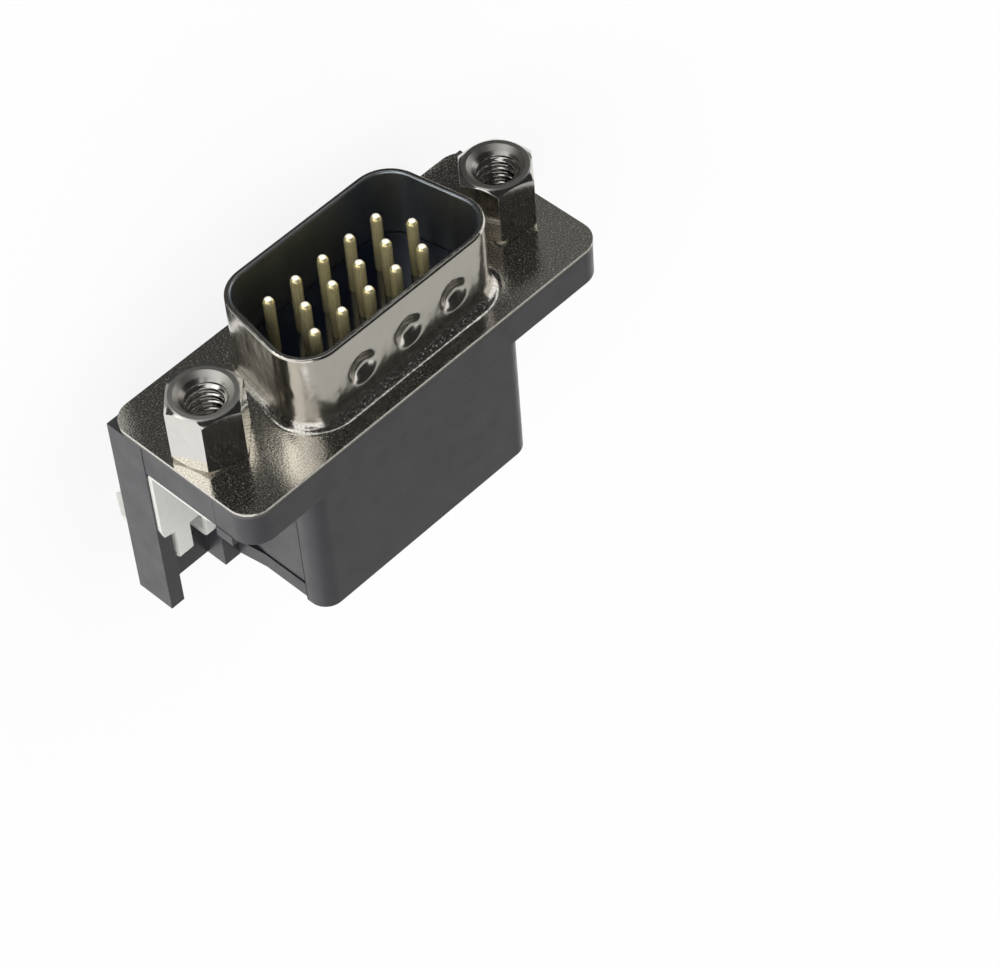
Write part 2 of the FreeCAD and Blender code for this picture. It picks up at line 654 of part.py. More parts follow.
def build_board_lock(side_name, side):
    """Sheet lock: threaded base plate behind the flange, deck on the leg, two barbed prongs."""
    name = "board_lock_" + side_name
    body = new_body(name)
    centre = f"{side} * {SCREW_X}"
    inner = f"({HOOD_HALF} + {cell('lock_gap')})"
    outer = f"({FLANGE_HALF} - {cell('lock_edge')})"
    base = front_sketch(body, name + "_base", PLATE_REAR)
    lock_top = f"({AXIS} + {cell('lock_top')})"
    box_outline(base, f"{side} * {inner}", f"{side} * {outer}", cell("leg_height"), lock_top)
    pad(body, base, cell("lock_sheet"), rearward=True)
    top_place = number(lock_top)
    top_corner = lambda edge: runs_along(edge, 1) and abs(middle(edge).z - top_place) < 1e-4
    fillet(body, name + "_corners", top_corner, cell("lock_corner"))
    deck = new_sketch(body, name + "_deck", "XY_Plane", cell("leg_height"))
    step = cell("shoulder_step")
    gap = f"({cell('fork_gap')} / 2)"
    slope_start = f"{LOCK_SHOULDER} - {cell('shoulder_slope')}"
    fork_root = f"{LOCK_SHOULDER} + {cell('fork_root')}"
    edge_half = [(inner, PLATE_REAR), (inner, slope_start), (f"({inner} + {step})", LOCK_SHOULDER)]
    other_half = [(f"({outer} - {step})", LOCK_SHOULDER), (outer, slope_start), (outer, PLATE_REAR)]
    prong_feet = [(f"({SCREW_X} - {PRONG_OUT})", f"{LOCK_SHOULDER} + {step}"),
                  (f"({SCREW_X} - {PRONG_OUT})", FORK_DEPTH), (f"({SCREW_X} - {gap})", FORK_DEPTH),
                  (f"({SCREW_X} - {gap})", fork_root), (f"({SCREW_X} + {gap})", fork_root),
                  (f"({SCREW_X} + {gap})", FORK_DEPTH), (f"({SCREW_X} + {PRONG_OUT})", FORK_DEPTH),
                  (f"({SCREW_X} + {PRONG_OUT})", f"{LOCK_SHOULDER} + {step}")]
    outline(deck, [(f"{side} * {x}", y) for x, y in edge_half + prong_feet + other_half])
    pad(body, deck, cell("lock_sheet"))
    prongs = front_sketch(body, name + "_prongs", f"{FORK_DEPTH} - {cell('lock_sheet')}")
    for hand in SIDES.values():
        prong = [(gap, cell("leg_height")),
                 (PRONG_OUT, cell("leg_height")),
                 (PRONG_OUT, f"-{cell('barb_start')}"),
                 (f"({PRONG_OUT} + {cell('barb_out')})", f"-{cell('barb_below')}"),
                 (f"({gap} + {cell('fork_tip')})", f"-{cell('fork_reach')}"),
                 (gap, f"-{cell('fork_reach')} + {cell('fork_point')}")]
        outline(prongs, [(f"{centre} + {hand} * {x}", y) for x, y in prong])
    pad(body, prongs, cell("lock_sheet"), rearward=True)
    round_lock_bends(body, name)
    collar = front_sketch(body, name + "_collar", LOCK_REAR)
    thread = f"({cell('stud_diameter')} + 2 * {cell('thread_clear')})"
    circle(collar, centre, AXIS, f"{thread} + 2 * {cell('collar_wall')}")
    pad(body, collar, cell("collar_height"), rearward=True)
    hole = front_sketch(body, name + "_thread", PLATE_REAR)
    circle(hole, centre, AXIS, thread)
    pocket(body, hole, f"{cell('lock_sheet')} + {cell('collar_height')}")
    return body


def round_lock_bends(body, name):
    """Inside and outside radii where the sheet turns from base plate to deck and from deck to prongs."""
    deck_under = number(cell("leg_height"))
    deck_top = number(LOCK_DECK)
    base_front = number(PLATE_REAR)
    base_rear = number(LOCK_REAR)
    fork_rear = number(FORK_DEPTH)
    fork_front = fork_rear - number(cell("lock_sheet"))

    def at(edge, depth, height):
        place = middle(edge)
        return runs_along(edge, 0) and abs(place.y - depth) < 1e-4 and abs(place.z - height) < 1e-4

    outside = lambda edge: at(edge, base_front, deck_under) or at(edge, fork_rear, deck_top)
    fillet(body, name + "_bend_outside", outside, f"{cell('bend_inside')} + {cell('lock_sheet')}")
    inside = lambda edge: at(edge, base_rear, deck_top) or at(edge, fork_front, deck_under)
    fillet(body, name + "_bend_inside", inside, cell("bend_inside"))


def build_jackscrew(side_name, side):
    """Hexagon screw lock: countersunk bore in front, stud through flange, plate and lock behind."""
    name = "jackscrew_" + side_name
    body = new_body(name)
    centre = f"{side} * {SCREW_X}"
    head = front_sketch(body, name + "_head")
    corner = f"({cell('hex_flats')} / 2 / cos(30))"
    first = cell("hex_turn_" + side_name)
    corners = []
    for step in range(0, 360, 60):
        corners.append((f"{centre} + {corner} * cos({first} + {step})", f"{AXIS} + {corner} * sin({first} + {step})"))
    outline(head, corners)
    pad(body, head, cell("hex_height"))
    stud = front_sketch(body, name + "_stud")
    circle(stud, centre, AXIS, cell("stud_diameter"))
    pad(body, stud, cell("stud_end"), rearward=True)
    stud_rear = number(cell("stud_end"))
    chamfer(body, name + "_stud_lead", lambda edge: lies_at(edge, 1, stud_rear), cell("stud_chamfer"))
    face = f"-{cell('hex_height')}"
    for end, inward, where in (("crown", 1, face), ("foot", -1, "0")):
        trim = new_sketch(body, f"{name}_{end}", "YZ_Plane", centre)
        chamfer_end = f"{where} + {inward} * {cell('hex_chamfer')}"
        low = f"({AXIS} + {cell('hex_face')} / 2)"
        beyond = f"({AXIS} + {cell('hex_flats')})"
        outline(trim, [(where, low), (chamfer_end, f"({AXIS} + {corner})"), (chamfer_end, beyond),
                       (f"{where} - {inward}", beyond), (f"{where} - {inward}", low)])
        level_axis(trim, AXIS)
        turn(body, trim, "Groove")
    bore = front_sketch(body, name + "_bore", face)
    circle(bore, centre, AXIS, cell("bore_diameter"))
    pocket(body, bore, cell("bore_depth"))
    sink = new_sketch(body, name + "_sink", "YZ_Plane", centre)
    sink_end = f"{face} + {cell('sink_depth')}"
    outline(sink, [(face, AXIS), (face, f"{AXIS} + {cell('sink_diameter')} / 2"),
                   (sink_end, f"{AXIS} + {cell('bore_diameter')} / 2"), (sink_end, AXIS)])
    level_axis(sink, AXIS)
    turn(body, sink, "Groove")
    return body


def build_all():
    """Every piece of the connector, in the order of assembly."""
    pieces = [build_front_shell(), build_housing(), build_front_insulator(), build_tail_block()]
    count = 0
    for row in range(len(PIN_ROWS)):
        for column in PIN_COLUMNS:
            count += 1
            pieces.append(build_contact(count, column, row))
    for side_name, side in SIDES.items():
        pieces.append(build_board_lock(side_name, side))
        pieces.append(build_jackscrew(side_name, side))
    return pieces


def check_document(pieces):
    """Stops before anything is written if a feature failed or a piece isn't one valid solid."""
    for item in doc.Objects:
        if "Invalid" in item.State or "Error" in item.State:
            raise RuntimeError(f"{item.Name} failed: {item.State}")
    for piece in pieces:
        shape = piece.Shape
        if shape.isNull() or not shape.isValid() or len(shape.Solids) != 1:
            raise RuntimeError(f"{piece.Label} is not one valid solid")


pieces = build_all()
doc.recompute()
check_document(pieces)
os.makedirs("parts", exist_ok=True)
for piece in pieces:
    piece.Shape.exportStep(f"parts/{piece.Label}.step")
    bounds = piece.Shape.BoundBox
    print(f"{piece.Label}: volume {piece.Shape.Volume:.2f}, X {bounds.XMin:.2f} to {bounds.XMax:.2f},"
          f" Y {bounds.YMin:.2f} to {bounds.YMax:.2f}, Z {bounds.ZMin:.2f} to {bounds.ZMax:.2f}")
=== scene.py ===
# %% [markdown]
# # Right-angle board connector
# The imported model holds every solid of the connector: drawn shell, moulded housing, insulators, bent
# contacts, sheet locks and jackscrews. This notebook dresses those solids: it rounds their edges, cuts the
# screw threads, gives each piece the finish of its real material and lights it like a catalogue picture.

import math

import bmesh
import bpy
from mathutils import Matrix, Vector


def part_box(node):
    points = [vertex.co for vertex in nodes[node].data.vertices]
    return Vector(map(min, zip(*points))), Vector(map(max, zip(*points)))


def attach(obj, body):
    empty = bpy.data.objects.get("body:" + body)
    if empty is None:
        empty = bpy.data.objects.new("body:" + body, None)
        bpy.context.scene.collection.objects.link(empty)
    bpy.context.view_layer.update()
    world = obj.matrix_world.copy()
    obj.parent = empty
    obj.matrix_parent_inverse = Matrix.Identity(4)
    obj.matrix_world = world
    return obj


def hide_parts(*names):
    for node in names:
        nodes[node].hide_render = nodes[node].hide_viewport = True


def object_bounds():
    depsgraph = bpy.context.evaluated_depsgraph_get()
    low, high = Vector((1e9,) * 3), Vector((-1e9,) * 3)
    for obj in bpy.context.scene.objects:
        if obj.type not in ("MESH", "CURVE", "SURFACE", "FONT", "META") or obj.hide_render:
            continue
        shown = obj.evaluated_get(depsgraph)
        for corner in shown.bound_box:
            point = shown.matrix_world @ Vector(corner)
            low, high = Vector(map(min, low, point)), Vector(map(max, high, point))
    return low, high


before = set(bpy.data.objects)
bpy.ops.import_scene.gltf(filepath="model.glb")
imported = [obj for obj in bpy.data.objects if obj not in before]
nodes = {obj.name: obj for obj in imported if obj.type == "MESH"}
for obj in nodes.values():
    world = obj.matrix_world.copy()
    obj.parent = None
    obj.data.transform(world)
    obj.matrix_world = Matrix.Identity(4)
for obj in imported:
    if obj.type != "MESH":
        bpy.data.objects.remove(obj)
print(len(nodes), "solids:", ", ".join(sorted(nodes)))

# %% [markdown]
# The frame is in metres. X runs along the flange, Y goes in from the mating side and Z rises from the
# board. Every size below is a real one in millimetres, so one factor turns it into metres. The box of the
# whole part is kept now, and its lowest point later sets the floor's height.

# %% Units and first bounds
MM = 0.001


def in_mm(place):
    """A place of the frame in millimetres, for printing."""
    return [round(value / MM, 2) for value in place]


low_at_load, high_at_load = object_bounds()
print("at load, mm:", in_mm(low_at_load), in_mm(high_at_load))

# %% [markdown]
# ## Finishes
# Each finish is a small node tree on one Principled shader. All patterns come from noise in object
# coordinates, which for these solids are the frame's own metres. Image textures would need unwrapping, and
# they would blur at close range. Noise stays sharp at any distance.

# %% A finish and its noise
NOISE_SPAN = (0.3, 0.7)


def new_finish(name, colour, metallic, roughness):
    """A material with one Principled shader, and the node tools to add to it."""
    material = bpy.data.materials.new(name)
    material.use_nodes = True
    tree = material.node_tree
    shader = tree.nodes["Principled BSDF"]
    shader.inputs["Base Color"].default_value = (*colour, 1)
    shader.inputs["Metallic"].default_value = metallic
    shader.inputs["Roughness"].default_value = roughness
    return material, tree, shader


def object_noise(tree, scale, detail=2, stretch=(1, 1, 1)):
    """Noise in the frame's metres: scale counts features per millimetre, stretch divides it by axis."""
    coordinates = tree.nodes.new("ShaderNodeTexCoord")
    mapping = tree.nodes.new("ShaderNodeMapping")
    mapping.inputs["Scale"].default_value = [scale / MM / s for s in stretch]
    noise = tree.nodes.new("ShaderNodeTexNoise")
    noise.inputs["Scale"].default_value = 1
    noise.inputs["Detail"].default_value = detail
    tree.links.new(coordinates.outputs["Object"], mapping.inputs["Vector"])
    tree.links.new(mapping.outputs["Vector"], noise.inputs["Vector"])
    return noise.outputs["Fac"]


print("most of the noise lies between", NOISE_SPAN[0], "and", NOISE_SPAN[1])

# %% [markdown]
# A plating or a skin often changes along one piece, at a cut edge or a foot. Separate materials would meet
# there in a hard line, and painted vertices would need a mesh as fine as the change. Here a share between 0
# and 1 is worked out from the place of each point, and it blends two values or two colours.

# %% Values and colours that change along a piece
def place_along(tree, axis):
    """One of the frame's own coordinates."""
    coordinates = tree.nodes.new("ShaderNodeTexCoord")
    split = tree.nodes.new("ShaderNodeSeparateXYZ")
    tree.links.new(coordinates.outputs["Object"], split.inputs["Vector"])
    return split.outputs[axis]


def ramp(tree, source, levels, span=(0, 1), easing="LINEAR"):
    """A value that goes from one level to the other while the source crosses a span."""
    node = tree.nodes.new("ShaderNodeMapRange")
    node.interpolation_type = easing
    node.inputs["From Min"].default_value = span[0]
    node.inputs["From Max"].default_value = span[1]
    node.inputs["To Min"].default_value = levels[0]
    node.inputs["To Max"].default_value = levels[1]
    tree.links.new(source, node.inputs["Value"])
    return node.outputs["Result"]


def share_past(tree, place, limit, softness):
    """0 before a limit and 1 past it."""
    return ramp(tree, place, (0, 1), (limit - softness, limit + softness))


def share_before(tree, place, limit, softness):
    """1 before a limit and 0 past it."""
    return ramp(tree, place, (1, 0), (limit - softness, limit + softness))


def combine(tree, operation, first, second=0):
    """One step of arithmetic on a value and a second one, which may be a plain number."""
    node = tree.nodes.new("ShaderNodeMath")
    node.operation = operation
    tree.links.new(first, node.inputs[0])
    if isinstance(second, (int, float)):
        node.inputs[1].default_value = second
    else:
        tree.links.new(second, node.inputs[1])
    return node.outputs[0]


def weigh(tree, first, first_weight, second, second_weight):
    """The sum of two values, each times its weight."""
    weighed = combine(tree, "MULTIPLY", first, first_weight)
    return combine(tree, "ADD", weighed, combine(tree, "MULTIPLY", second, second_weight))


def blend_value(tree, share, first, second):
    """A value between two others, led by a share."""
    node = tree.nodes.new("ShaderNodeMix")
    tree.links.new(share, node.inputs["Factor"])
    tree.links.new(first, node.inputs["A"])
    tree.links.new(second, node.inputs["B"])
    return node.outputs["Result"]


def blend_colour(tree, share, first, second):
    """A colour between two others, led by a share; each may be a plain colour."""
    node = tree.nodes.new("ShaderNodeMix")
    node.data_type = "RGBA"
    tree.links.new(share, node.inputs["Factor"])
    for socket, colour in (("A", first), ("B", second)):
        if isinstance(colour, tuple):
            node.inputs[socket].default_value = (*colour, 1)
        else:
            tree.links.new(colour, node.inputs[socket])
    return node.outputs["Result"]


print("shares, ramps and blends ready")

# %% [markdown]
# Grain, waves and shallow dents are finer than the mesh, so they are bumps: those bend the shader's normal
# and leave the solid as it is. A second bump takes the first one as its ground, which lays fine grain over
# a wide dent.

# %% Fine relief
def raise_relief(tree, shader, height, strength, distance_mm):
    """Relief on a shader from a height, on top of the relief that it already has."""
    bump = tree.nodes.new("ShaderNodeBump")
    bump.inputs["Strength"].default_value = strength
    bump.inputs["Distance"].default_value = distance_mm * MM
    tree.links.new(height, bump.inputs["Height"])
    if shader.inputs["Normal"].is_linked:
        tree.links.new(shader.inputs["Normal"].links[0].from_socket, bump.inputs["Normal"])
    tree.links.new(bump.outputs["Normal"], shader.inputs["Normal"])


print("relief ready")

# %% [markdown]
# ## Nickel of the drawn shell
# The shell is one steel sheet, drawn and nickel plated, but it doesn't look the same all over. The flange
# keeps the sheet's grain, the cup's wall is drawn smoother, the cup's inside is a duller blue grey, and the
# flange's cut edge is almost bare. Depth tells flange, wall and cut edge apart. The cup's inside and
# outside lie at the same depth, so what tells them apart is whether a point looks towards the shell's axis
# or away from it.

# %% Zones of the shell
SHELL_AXIS_HEIGHT = (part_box("front_shell")[0].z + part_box("front_shell")[1].z) / 2
FOOT_DEPTH = -0.6 * MM
FOOT_SOFTNESS = 0.3 * MM
CUT_EDGE_DEPTH = 0.2 * MM
CUT_EDGE_SOFTNESS = 0.04 * MM
LOOKS_INWARD = (-1.2 * MM, -0.4 * MM)


def vector_step(tree, operation, first, second):
    """One step of arithmetic on a vector and a second one, which may be plain numbers."""
    node = tree.nodes.new("ShaderNodeVectorMath")
    node.operation = operation
    tree.links.new(first, node.inputs[0])
    if isinstance(second, tuple):
        node.inputs[1].default_value = second
    else:
        tree.links.new(second, node.inputs[1])
    return node


def cup_inside(tree):
    """1 where the surface looks towards the shell's own axis, which only the cup's inside does."""
    geometry = tree.nodes.new("ShaderNodeNewGeometry")
    from_axis = vector_step(tree, "SUBTRACT", geometry.outputs["Position"], (0, 0, SHELL_AXIS_HEIGHT))
    across = vector_step(tree, "MULTIPLY", from_axis.outputs["Vector"], (1, 0, 1))
    outward = vector_step(tree, "DOT_PRODUCT", across.outputs["Vector"], geometry.outputs["Normal"])
    return ramp(tree, outward.outputs["Value"], (1, 0), LOOKS_INWARD)


def shell_zones(tree):
    """The shares of the flange, its cut edge and the cup's inside."""
    depth = place_along(tree, "Y")
    flange = share_past(tree, depth, FOOT_DEPTH, FOOT_SOFTNESS)
    cut_edge = share_past(tree, depth, CUT_EDGE_DEPTH, CUT_EDGE_SOFTNESS)
    return flange, cut_edge, cup_inside(tree)


print("shell axis at mm", round(SHELL_AXIS_HEIGHT / MM, 2), "foot at depth", round(FOOT_DEPTH / MM, 2))

# %% [markdown]
# A punch has set three dimples into the cup's wide wall, and each has dragged the sheet round it into a
# wide shallow dent. The dimples themselves are in the solid. A dent could be sculpted, but it is only seen
# as a bend in the reflections, so it is relief: deepest at the dimple and gone at the dent's radius.

# %% Dents round the dimples
DIMPLE_SPACING = 3.9 * MM
DIMPLE_DEPTH = -2.8 * MM
DENT_RADIUS = 1.7 * MM
DENT_SINK_MM = 0.2
WIDE_WALL_RISE = 3.1 * MM
WIDE_WALL_SOFTNESS = 0.1 * MM


def dent_the_wide_wall(tree, shader):
    """One dent in the middle of the wide wall and one at the same distance on either side."""
    aside = combine(tree, "ABSOLUTE", place_along(tree, "X"))
    beside_outer = combine(tree, "ABSOLUTE", combine(tree, "SUBTRACT", aside, DIMPLE_SPACING))
    across = combine(tree, "MINIMUM", aside, beside_outer)
    along = combine(tree, "SUBTRACT", place_along(tree, "Y"), DIMPLE_DEPTH)
    across_squared = combine(tree, "MULTIPLY", across, across)
    along_squared = combine(tree, "MULTIPLY", along, along)
    distance = combine(tree, "SQRT", combine(tree, "ADD", across_squared, along_squared))
    dent = ramp(tree, distance, (-1, 0), (0, DENT_RADIUS), "SMOOTHERSTEP")
    wide_wall_height = SHELL_AXIS_HEIGHT + WIDE_WALL_RISE
    wide_wall = share_past(tree, place_along(tree, "Z"), wide_wall_height, WIDE_WALL_SOFTNESS)
    dents = combine(tree, "MULTIPLY", dent, wide_wall)
    raise_relief(tree, shader, dents, strength=1, distance_mm=DENT_SINK_MM)


print("dents", round(DENT_RADIUS / MM, 2), "mm in radius, sunk", DENT_SINK_MM, "mm")

# %% [markdown]
# Nickel over a rolled sheet sparkles: under a lens the flange shows pale and dark specks, and a few that
# mirror less. The cup's wall is satin instead, with slow waves and faint streaks along the pull of the die.
# An image could hold either look, but the sparkle would blur at close range. So one fine noise leads the
# flange's colour, roughness and relief together, and slower noises lead the wall's.

# %% Nickel plate of the drawn shell
CUP_NICKEL = ((0.66, 0.63, 0.57), (0.76, 0.73, 0.67))
FLANGE_SPECKS = ((0.5, 0.475, 0.43), (1, 0.97, 0.9))
FLANGE_SPECK_SHARE = 0.6
FLANGE_SPECK_SPAN = (0.38, 0.66)
DULL_SPECK_SHARE = 0.28
DULL_SPECK_SPAN = (0.57, 0.7)
INSIDE_NICKEL = (0.55, 0.59, 0.64)
CUT_EDGE_STEEL = (0.16, 0.157, 0.15)
CUP_ROUGHNESS = (0.15, 0.23)
FLANGE_ROUGHNESS = (0.1, 0.17)
INSIDE_ROUGHNESS = (0.34, 0.42)
CUT_EDGE_ROUGHNESS = (0.4, 0.5)
CUP_SPARKLE_HEIGHT = 0.06
CUP_WAVE_HEIGHT = 4.5
FLANGE_PEEL_HEIGHT = 0.4
FLANGE_SPARKLE_HEIGHT = 0.75


def shell_colour(tree, zones, sparkle):
    flange, cut_edge, inside = zones
    clouded = blend_colour(tree, object_noise(tree, scale=0.45, detail=3), *CUP_NICKEL)
    speckled = blend_colour(tree, ramp(tree, sparkle, (0, 1), FLANGE_SPECK_SPAN), *FLANGE_SPECKS)
    outside = blend_colour(tree, combine(tree, "MULTIPLY", flange, FLANGE_SPECK_SHARE), clouded, speckled)
    skin = blend_colour(tree, inside, outside, INSIDE_NICKEL)
    return blend_colour(tree, cut_edge, skin, CUT_EDGE_STEEL)


def shell_roughness(tree, zones, sparkle):
    flange, cut_edge, inside = zones
    streaks = object_noise(tree, scale=3, detail=3, stretch=(1, 9, 1))
    drawn = ramp(tree, streaks, CUP_ROUGHNESS, NOISE_SPAN)
    outside = blend_value(tree, flange, drawn, ramp(tree, sparkle, FLANGE_ROUGHNESS, NOISE_SPAN))
    skin = blend_value(tree, inside, outside, ramp(tree, streaks, INSIDE_ROUGHNESS, NOISE_SPAN))
    return blend_value(tree, cut_edge, skin, ramp(tree, sparkle, CUT_EDGE_ROUGHNESS))


def shell_metallic(tree, zones):
    """Full nickel, less in the flange's dull specks."""
    dull = ramp(tree, object_noise(tree, scale=9, detail=2), (0, DULL_SPECK_SHARE), DULL_SPECK_SPAN)
    return ramp(tree, combine(tree, "MULTIPLY", zones[0], dull), (1, 0))


def shell_grain(tree, zones, sparkle):
    """Orange peel with sparkle on the flange, slow waves of the draw on the cup."""
    peel = object_noise(tree, scale=5, detail=2)
    waves = object_noise(tree, scale=1.1, detail=1, stretch=(1, 1.6, 1))
    on_cup = weigh(tree, sparkle, CUP_SPARKLE_HEIGHT, waves, CUP_WAVE_HEIGHT)
    on_flange = weigh(tree, peel, FLANGE_PEEL_HEIGHT, sparkle, FLANGE_SPARKLE_HEIGHT)
    return blend_value(tree, zones[0], on_cup, on_flange)


def nickel_shell_finish():
    material, tree, shader = new_finish("nickel_shell", (0.7, 0.67, 0.6), 1, 0.14)
    zones = shell_zones(tree)
    sparkle = object_noise(tree, scale=8, detail=4)
    tree.links.new(shell_colour(tree, zones, sparkle), shader.inputs["Base Color"])
    tree.links.new(shell_roughness(tree, zones, sparkle), shader.inputs["Roughness"])
    tree.links.new(shell_metallic(tree, zones), shader.inputs["Metallic"])
    dent_the_wide_wall(tree, shader)
    raise_relief(tree, shader, shell_grain(tree, zones, sparkle), strength=0.55, distance_mm=0.02)
    return material


shell_nickel = nickel_shell_finish()
print(shell_nickel.name, "uses", len(shell_nickel.node_tree.nodes), "nodes")

# %% [markdown]
# The jackscrews are turned from hexagon bar and plated brighter than the shell. Their six sides keep the
# drawn bar's streaks, while the crown, which is the flat front face, is matt from the lathe. Two materials
# would need faces of their own. One material with a share by depth changes just behind the flat face.

# %% Nickel of the hexagon heads
HEAD_NICKEL = ((0.66, 0.64, 0.6), (0.76, 0.74, 0.7))
HEAD_ROUGHNESS = (0.07, 0.13)
SCREW_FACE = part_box("jackscrew_right")[0].y
CROWN_DEPTH = SCREW_FACE + 0.05 * MM
CROWN_SOFTNESS = 0.04 * MM
CROWN_NICKEL = (0.6, 0.59, 0.56)
CROWN_ROUGHNESS = (0.36, 0.46)


def nickel_screw_finish():
    material, tree, shader = new_finish("nickel_jackscrew", (0.7, 0.68, 0.64), 1, 0.1)
    crown = share_before(tree, place_along(tree, "Y"), CROWN_DEPTH, CROWN_SOFTNESS)
    streaks = object_noise(tree, scale=4, detail=3, stretch=(1, 10, 1))
    plated = blend_colour(tree, object_noise(tree, scale=1.5, detail=3), *HEAD_NICKEL)
    tree.links.new(blend_colour(tree, crown, plated, CROWN_NICKEL), shader.inputs["Base Color"])
    drawn = ramp(tree, streaks, HEAD_ROUGHNESS, NOISE_SPAN)
    turned = ramp(tree, object_noise(tree, scale=6, detail=2), CROWN_ROUGHNESS)
    tree.links.new(blend_value(tree, crown, drawn, turned), shader.inputs["Roughness"])
    raise_relief(tree, shader, streaks, strength=0.08, distance_mm=0.01)
    return material


head_nickel = nickel_screw_finish()
print(head_nickel.name, "has its crown down to depth", round(CROWN_DEPTH / MM, 2))

# %% [markdown]
# The bore shows three looks of one plating: a matt rim, a darker countersink and a bright thread, which the
# tap has burnished. They are coaxial and lie one behind the other, so depth alone tells them apart. The
# stud lies behind all three and is as bright as the thread.

# %% Nickel of the tapped bores
THREAD_NICKEL = (0.74, 0.72, 0.69)
THREAD_ROUGHNESS = (0.1, 0.16)
SINK_END_DEPTH = SCREW_FACE + 0.65 * MM
SINK_END_SOFTNESS = 0.03 * MM
SINK_NICKEL = (0.5, 0.49, 0.46)
SINK_ROUGHNESS = (0.22, 0.3)
RIM_DEPTH = SCREW_FACE + 0.3 * MM
RIM_SOFTNESS = 0.05 * MM
RIM_NICKEL = (0.66, 0.64, 0.6)
RIM_ROUGHNESS = (0.42, 0.52)


def tapped_bore_finish():
    material, tree, shader = new_finish("nickel_tapped_bore", (0.7, 0.68, 0.64), 1, 0.12)
    depth = place_along(tree, "Y")
    sink = share_before(tree, depth, SINK_END_DEPTH, SINK_END_SOFTNESS)
    rim = share_before(tree, depth, RIM_DEPTH, RIM_SOFTNESS)
    bore_colour = blend_colour(tree, sink, THREAD_NICKEL, SINK_NICKEL)
    tree.links.new(blend_colour(tree, rim, bore_colour, RIM_NICKEL), shader.inputs["Base Color"])
    rings = object_noise(tree, scale=1.5, detail=3, stretch=(10, 1, 10))
    bore = blend_value(tree, sink, ramp(tree, rings, THREAD_ROUGHNESS), ramp(tree, rings, SINK_ROUGHNESS))
    dullness = blend_value(tree, rim, bore, ramp(tree, rings, RIM_ROUGHNESS))
    tree.links.new(dullness, shader.inputs["Roughness"])
    raise_relief(tree, shader, rings, strength=0.15, distance_mm=0.01)
    return material


bore_nickel = tapped_bore_finish()
print(bore_nickel.name, "changes at", round(RIM_DEPTH / MM, 2), "and", round(SINK_END_DEPTH / MM, 2))

# %% [markdown]
# Housing, hood and tail block are glass-filled nylon: nearly black, with a dull skin and a faint mottle.
# The insulator in the cup is smoother and a little bluish, so that it mirrors the pins. One function makes
# all three, since only the shade, the dullness, the grain and the refraction differ.

# %% Moulded plastics
HOUSING_SHADES = ((0.021, 0.021, 0.025), (0.028, 0.028, 0.033))
TAIL_BLOCK_SHADES = ((0.018, 0.019, 0.022), (0.025, 0.026, 0.03))
INSULATOR_SHADES = ((0.002, 0.004, 0.01), (0.004, 0.007, 0.018))
SCUFF_RANGE = 0.07
GRAIN_RANGE = 0.04


def moulded_finish(name, shades, roughness, grain_strength, refraction=1.62):
    material, tree, shader = new_finish(name, shades[1], 0, roughness)
    shader.inputs["IOR"].default_value = refraction
    mottle = object_noise(tree, scale=0.8, detail=4)
    tree.links.new(blend_colour(tree, mottle, *shades), shader.inputs["Base Color"])
    dullness = (roughness - SCUFF_RANGE, roughness + SCUFF_RANGE)
    scuffs = ramp(tree, object_noise(tree, scale=0.7, detail=5), dullness, NOISE_SPAN)
    grain = object_noise(tree, scale=14, detail=3)
    grain_dullness = ramp(tree, grain, (-GRAIN_RANGE, GRAIN_RANGE), NOISE_SPAN)
    tree.links.new(combine(tree, "ADD", scuffs, grain_dullness), shader.inputs["Roughness"])
    raise_relief(tree, shader, grain, strength=grain_strength, distance_mm=0.01)
    return material


housing_plastic = moulded_finish(
    "housing_plastic", HOUSING_SHADES, roughness=0.34, grain_strength=0.12)
tail_block_plastic = moulded_finish(
    "tail_block_plastic", TAIL_BLOCK_SHADES, roughness=0.34, grain_strength=0.12)
insulator_plastic = moulded_finish(
    "insulator_plastic", INSULATOR_SHADES, roughness=0.12, grain_strength=0.04, refraction=1.5)
print("plastics:", housing_plastic.name, tail_block_plastic.name, insulator_plastic.name)

# %% [markdown]
# Where the hood's side panel meets the rounded edge of its roof, a narrow gap between them lies in shade and
# shows as a fine dark line. The gap is thinner than a hair, so its shade is painted: a dark band in the
# housing's finish, not a groove in the mesh.

# %% Painted gap shade on the hood
PANEL_LINE_HEIGHT = 9.24 * MM
PANEL_LINE_HALF = 0.03 * MM
PANEL_LINE_FADE = 0.02 * MM
PANEL_LINE_INNER = 9.25 * MM
PANEL_LINE_OUTER = 9.8 * MM
PANEL_LINE_OUTER_FADE = 0.1 * MM
PANEL_LINE_OUTER_SHARE = 0.35
# painted shade: the colour of the dark band that stands for the shade in the gap
PANEL_GAP_SHADE_COLOUR = (0.002, 0.002, 0.002)
PANEL_LINE_DULLNESS = 0.6
